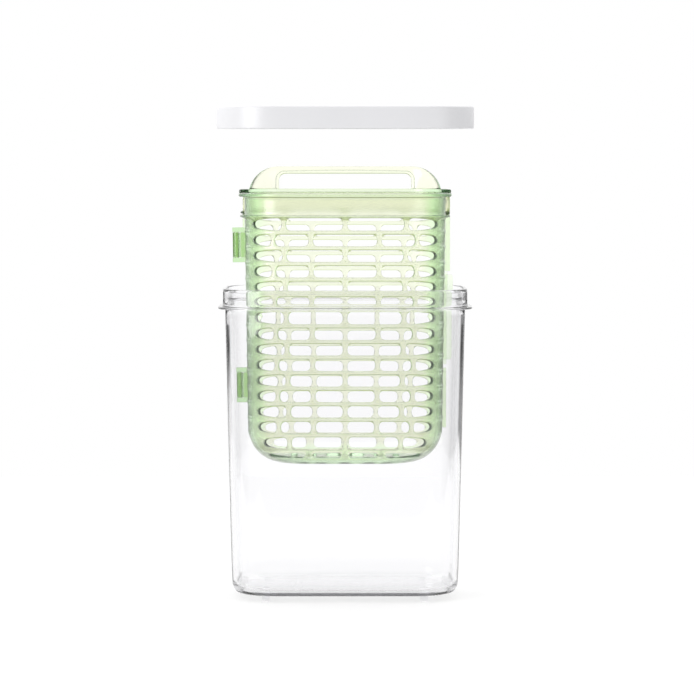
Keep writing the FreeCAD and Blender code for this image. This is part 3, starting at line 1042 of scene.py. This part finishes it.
def white_plastic():
    """Satin white cap."""
    material, tree, shader = new_material("white_plastic", {"Base Color": (*WHITE_TINT, 1.0)})
    tree.links.new(tree.drift(40.0, (0.32, 0.42)), shader.inputs["Roughness"])
    grain = tree.add("ShaderNodeTexNoise", {"Scale": 900.0})
    bump = tree.add("ShaderNodeBump", {"Strength": 0.04, "Distance": 0.05 * MM})
    tree.links.new(grain.outputs["Fac"], bump.inputs["Height"])
    tree.links.new(bump.outputs["Normal"], shader.inputs["Normal"])
    return material


def paint(piece, material):
    """Give a piece one material in place of any that it has."""
    piece.data.materials.clear()
    piece.data.materials.append(material)


# ---------------------------------------------------------------------------------------------
# Pieces
# ---------------------------------------------------------------------------------------------

EDGE_SOFTENING = 0.25

materials = {
    "clear_plastic": clear_plastic(),
    "green_plastic": green_plastic("green_plastic", BUTTER_TINT, EDGE_ON_SHADE_TINT, 30.0),
    "green_handle": green_plastic("green_handle", CREAM_TINT, CREAM_TINT, 22.0),
    "green_flange": green_plastic("green_flange", PALE_TINT, PALE_TINT, 22.0),
    "green_hinge": green_plastic("green_hinge", LEAF_TINT, LEAF_TINT, 50.0),
    "white_plastic": white_plastic(),
}
HALF_NODES = ("left_corner", "right_corner", "left_side", "right_side", "floor", "rim")


def place(piece, body, slot, nodes, material=None):
    """Paint a piece (its slot's material unless one is named) and let it stand for its CAD nodes."""
    paint(piece, materials[material or slot])
    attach(piece, body)
    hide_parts(*nodes)


front_half = Half(-1, span("door_rim", 2)[1], FRONT_FIRST_SLAT_Z).build("basket_front_half")
rear_half = Half(1, BASKET_TOP_Z, REAR_FIRST_SLAT_Z).build("basket_rear_half")
place(make_tub(), "tub", "clear_plastic", ["tub_shell"])
place(make_lid(), "lid", "white_plastic", ["lid_cap"])
front_nodes = ["door_front_grille"] + ["door_" + part for part in HALF_NODES]
rear_nodes = ["basket_back_grille"] + ["basket_" + part for part in HALF_NODES]
place(front_half, "door", "green_plastic", front_nodes)
place(rear_half, "basket", "green_plastic", rear_nodes)
place(make_handle(), "basket", "green_plastic", ["basket_handle"], "green_handle")

# Small hardware keeps its CAD shape, with moulded edges softened
KEPT_NODES = {
    "clear_plastic": [
        "tub_foot_front_left", "tub_foot_front_right", "tub_foot_back_left", "tub_foot_back_right",
    ],
    "green_flange": ["basket_parting_flange", "door_parting_flange", "latch_tab", "latch_catch"],
    "green_hinge": [
        "hinge_bracket_lower", "hinge_bracket_upper", "hinge_pin_lower", "hinge_pin_upper",
        "hinge_clip_lower", "hinge_clip_upper",
    ],
}
for material_name, node_names in KEPT_NODES.items():
    for node_name in node_names:
        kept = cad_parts[node_name]
        paint(kept, materials[material_name])
        bevel = kept.modifiers.new("soft_edges", "BEVEL")
        bevel.width = EDGE_SOFTENING * MM
        bevel.segments = 2


# ---------------------------------------------------------------------------------------------
# Studio
# ---------------------------------------------------------------------------------------------

FLOOR_SIZE = 0.7
FLOOR_GREY = 0.28
FLOOR_GLOW = 0.745

# Brightness of the room along a direction's axis, as (span, values at its ends)
ROOM_DEPTH = ((-0.3, 0.5), (0.5, 1.1))
ROOM_WIDTH = ((-1.0, 1.0), (1.15, 0.85))
ROOM_HEIGHT = ((0.25, 0.8), (0.0, 0.6))
BRIGHTEST = 3.0

# Black strips behind the object to the left and right: how the room fades into them
STRIP_TOP = ((-0.035, -0.012), (0.0, 1.0))
STRIP_DEPTH = ((-0.1, 0.1), (1.0, 0.0))
LEFT_STRIP_SIDE = ((-0.38, -0.22), (0.0, 1.0))
LEFT_STRIP_BOTTOM = ((-0.085, -0.066), (0.75, 0.0))
RIGHT_STRIP_SIDE = ((0.24, 0.4), (1.0, 0.0))
RIGHT_STRIP_BOTTOM = ((-0.085, -0.066), (0.35, 0.05))


def make_floor():
    """Plain pale table top that glows a little, so that it has only faint shadows."""
    mesh = bpy.data.meshes.new("floor")
    corners = [(-FLOOR_SIZE, -FLOOR_SIZE, 0), (FLOOR_SIZE, -FLOOR_SIZE, 0)]
    corners += [(FLOOR_SIZE, FLOOR_SIZE, 0), (-FLOOR_SIZE, FLOOR_SIZE, 0)]
    mesh.from_pydata(corners, [], [(0, 1, 2, 3)])
    floor = bpy.data.objects.new("floor", mesh)
    bpy.context.collection.objects.link(floor)
    material, _, _ = new_material("floor_paper", {
        "Base Color": (FLOOR_GREY, FLOOR_GREY, FLOOR_GREY, 1.0),
        "Roughness": 0.9,
        "Specular IOR Level": 0.0,
        "Emission Color": (1.0, 1.0, 1.0, 1.0),
        "Emission Strength": FLOOR_GLOW,
    })
    paint(floor, material)


def make_world():
    """White room: brighter above and behind the object, dimmer in front, with two low dark strips."""
    world = bpy.data.worlds.new("studio")
    bpy.context.scene.world = world
    tree = NodeTree(world)
    x, y, z = tree.coordinates("Generated")
    level = tree.math("MULTIPLY", tree.eased(y, *ROOM_DEPTH), tree.eased(x, *ROOM_WIDTH))
    level = tree.math("ADD", level, tree.eased(z, *ROOM_HEIGHT))
    top = tree.eased(z, *STRIP_TOP)
    left = tree.math("MAXIMUM", top, tree.eased(z, *LEFT_STRIP_BOTTOM))
    left = tree.math("MAXIMUM", left, tree.eased(x, *LEFT_STRIP_SIDE))
    right = tree.math("MAXIMUM", top, tree.eased(z, *RIGHT_STRIP_BOTTOM))
    right = tree.math("MAXIMUM", right, tree.eased(x, *RIGHT_STRIP_SIDE))
    strips = tree.math("MAXIMUM", tree.math("MULTIPLY", left, right), tree.eased(y, *STRIP_DEPTH))
    level = tree.math("MULTIPLY", level, strips)
    # What the camera sees of the room itself is plain white
    seen = tree.add("ShaderNodeLightPath", {}).outputs["Is Camera Ray"]
    level = tree.math("MAXIMUM", level, seen)
    level = tree.math("MINIMUM", level, tree.eased(seen, (0.0, 1.0), (BRIGHTEST, 1.0)))
    background = tree.nodes["Background"]
    tree.links.new(level, background.inputs["Strength"])
    background.inputs["Color"].default_value = (1.0, 1.0, 1.0, 1.0)


def make_soft_box(name, place, target, size, energy):
    """Rectangular lamp that faces a target."""
    data = bpy.data.lights.new(name, "AREA")
    data.shape = "RECTANGLE"
    data.size, data.size_y = size
    data.energy = energy
    light = bpy.data.objects.new(name, data)
    aim(light, place, target)
    return light


def make_reflected_card(name, x, energy):
    """Card in front of the object that is only seen mirrored in its plastic."""
    card = make_soft_box(name, (x, -0.8, 0.34), (0.0, 0.0, 0.34), (0.6, 0.6), energy)
    card.visible_diffuse = False
    card.visible_transmission = False


make_floor()
make_world()
make_soft_box("key_light", (-0.75, -0.75, 0.45), (0.0, 0.0, 0.15), (0.5, 0.7), 2.5)
make_reflected_card("left_card", -0.75, 6.0)
make_reflected_card("right_card", 0.75, 2.0)

scene = bpy.context.scene
scene.view_settings.view_transform = "Standard"
scene.cycles.max_bounces = 64
scene.cycles.transmission_bounces = 64
scene.cycles.transparent_max_bounces = 16
